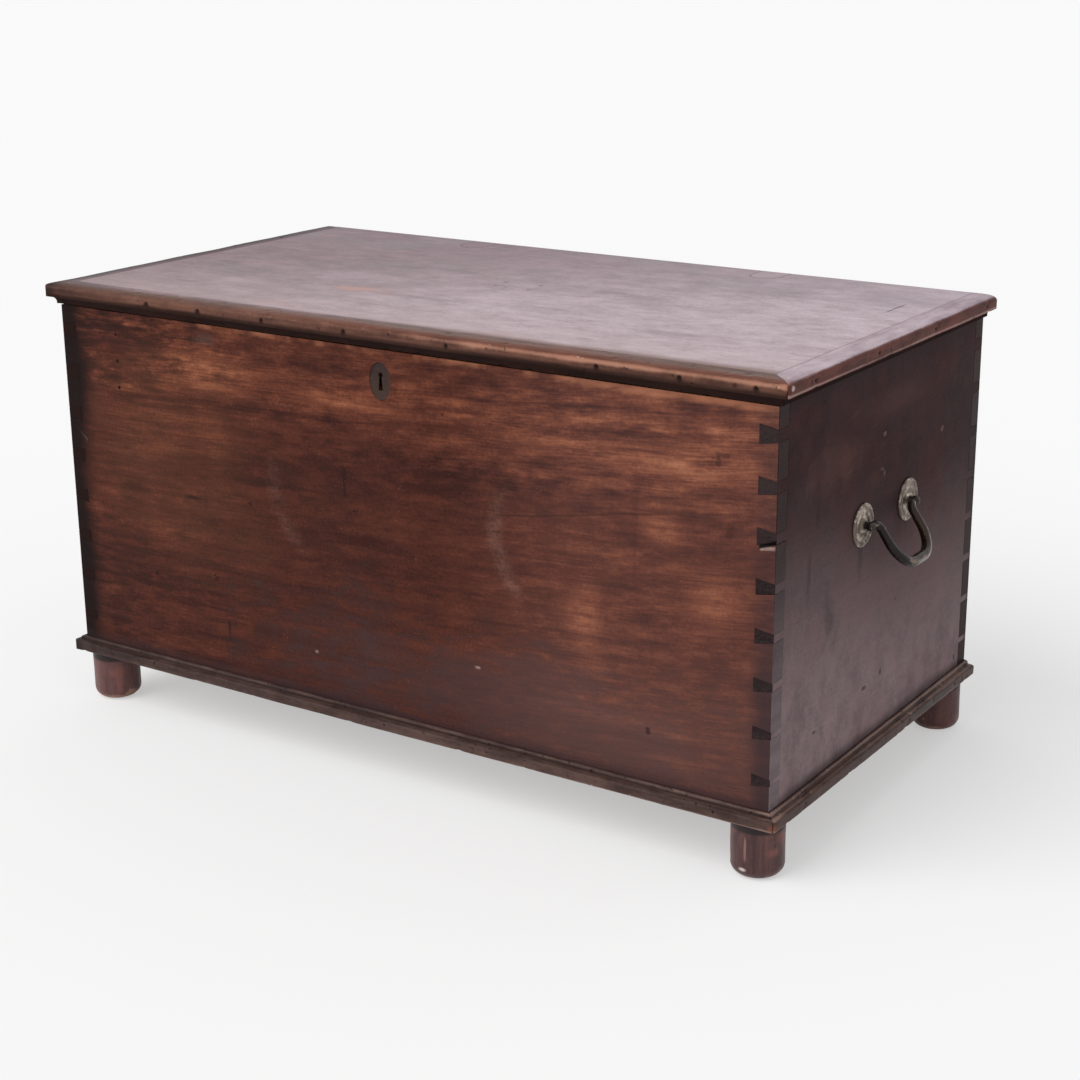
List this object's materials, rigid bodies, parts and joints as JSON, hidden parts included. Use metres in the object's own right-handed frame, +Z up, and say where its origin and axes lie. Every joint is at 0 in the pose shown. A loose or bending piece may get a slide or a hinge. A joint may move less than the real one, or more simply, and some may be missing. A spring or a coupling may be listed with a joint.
{
  "type": "sea chest",
  "caption": "Dovetailed plank sea chest on turned feet, with a moulded hinged lid, an oval escutcheon over its lock, a till inside and a drop handle at each end.",
  "frame": {"origin": "on the floor under the middle of the whole object, handles included", "axes": "+X along the front to the right, +Y from the front to the back, +Z up"},
  "size_m": [1.0992, 0.5518, 0.549],
  "materials": {
    "front_wood": "worn oil",
    "end_wood": "worn oil",
    "lid_wood": "worn wax",
    "moulding_wood": "worn wax",
    "patch_wood": "worn wax",
    "foot_wood": "worn oil",
    "inner_wood": "bare",
    "escutcheon_metal": "dark",
    "rose_metal": "dull",
    "iron": "dark"
  },
  "bodies": {
    "case": {"back_board": "front_wood", "base_moulding_front": "moulding_wood", "base_moulding_left": "moulding_wood", "base_moulding_nails": "iron", "base_moulding_right": "moulding_wood", "bottom_board_1": "inner_wood", "bottom_board_2": "inner_wood", "bottom_board_3": "inner_wood", "bottom_nails": "iron", "escutcheon": "escutcheon_metal", "foot_back_left": "foot_wood", "foot_back_right": "foot_wood", "foot_front_left": "foot_wood", "foot_front_right": "foot_wood", "front_board": "front_wood", "hinge_case_screws": "iron", "left_end_board": "end_wood", "left_handle_nuts": "iron", "left_handle_posts": "iron", "left_handle_roses": "rose_metal", "left_hinge_case_leaf": "iron", "left_hinge_pin": "iron", "lock_cap": "iron", "lock_cap_screws": "iron", "lock_case": "iron", "lock_key_pin": "iron", "lock_screws": "iron", "right_end_board": "end_wood", "right_handle_nuts": "iron", "right_handle_posts": "iron", "right_handle_roses": "rose_metal", "right_hinge_case_leaf": "iron", "right_hinge_pin": "iron", "till_bottom": "inner_wood", "till_nails": "iron", "till_side": "inner_wood"},
    "lid": {"hinge_lid_screws": "iron", "left_hinge_lid_leaf": "iron", "lid_board": "lid_wood", "lid_hinge_patches": "patch_wood", "lid_moulding_front": "moulding_wood", "lid_moulding_left": "moulding_wood", "lid_moulding_nails": "iron", "lid_moulding_right": "moulding_wood", "lid_strike": "iron", "lid_strike_screws": "iron", "right_hinge_lid_leaf": "iron"},
    "right_bail": {"right_handle_bail": "iron"},
    "left_bail": {"left_handle_bail": "iron"},
    "bolt": {"lock_bolt": "iron"}
  },
  "joints": [
    {"name": "lid_hinge", "type": "hinge", "parent": "case", "child": "lid", "pos_m": [0, 0.2709, 0.521], "axis": [-1, 0, 0], "range_deg": [0, 100]},
    {"name": "right_bail_swing", "type": "hinge", "parent": "case", "child": "right_bail", "pos_m": [0.5105, 0.0016, 0.3455], "axis": [0, -1, 0], "range_deg": [-36, 125]},
    {"name": "left_bail_swing", "type": "hinge", "parent": "case", "child": "left_bail", "pos_m": [-0.5105, 0.0016, 0.3455], "axis": [0, 1, 0], "range_deg": [-36, 125]},
    {"name": "bolt_slide", "type": "slide", "parent": "case", "child": "bolt", "axis": [1, 0, 0], "range_m": [0, 0.01]}
  ]
}
